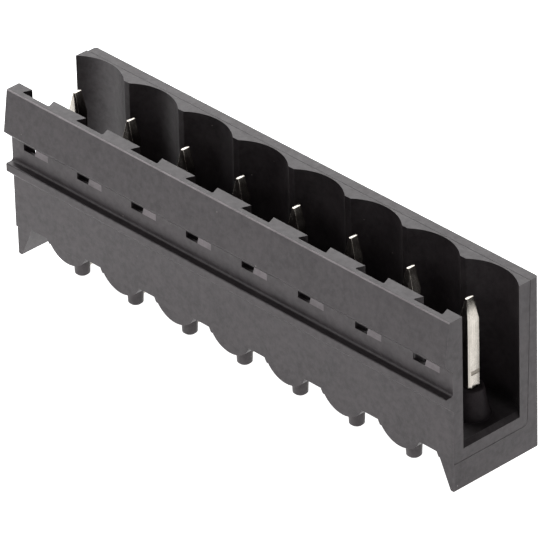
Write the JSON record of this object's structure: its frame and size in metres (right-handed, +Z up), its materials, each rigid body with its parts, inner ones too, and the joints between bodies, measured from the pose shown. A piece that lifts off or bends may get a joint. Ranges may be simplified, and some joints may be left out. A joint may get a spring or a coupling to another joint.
{
  "type": "pin header",
  "caption": "Upright open-ended pin header for a plug-in terminal block: black moulded trough with coding slots, round pockets, latch lip and scalloped skirts, and square tinned pins.",
  "frame": {"origin": "middle of the contact row, in the seating plane on the circuit board", "axes": "+X along the contact row, +Y towards the closed back wall, +Z up towards the plug side; the latch lip and the coding slots are at -Y"},
  "size_m": [0.0402, 0.0081, 0.0139],
  "materials": {
    "housing": "black glass-fibre filled moulded plastic, fine matt",
    "contact": "tin-plated copper alloy, satin"
  },
  "bodies": {
    "root": {"housing": "housing", "contact_pin_1": "contact", "contact_pin_2": "contact", "contact_pin_3": "contact", "contact_pin_4": "contact", "contact_pin_5": "contact", "contact_pin_6": "contact", "contact_pin_7": "contact", "contact_pin_8": "contact"}
  },
  "joints": []
}
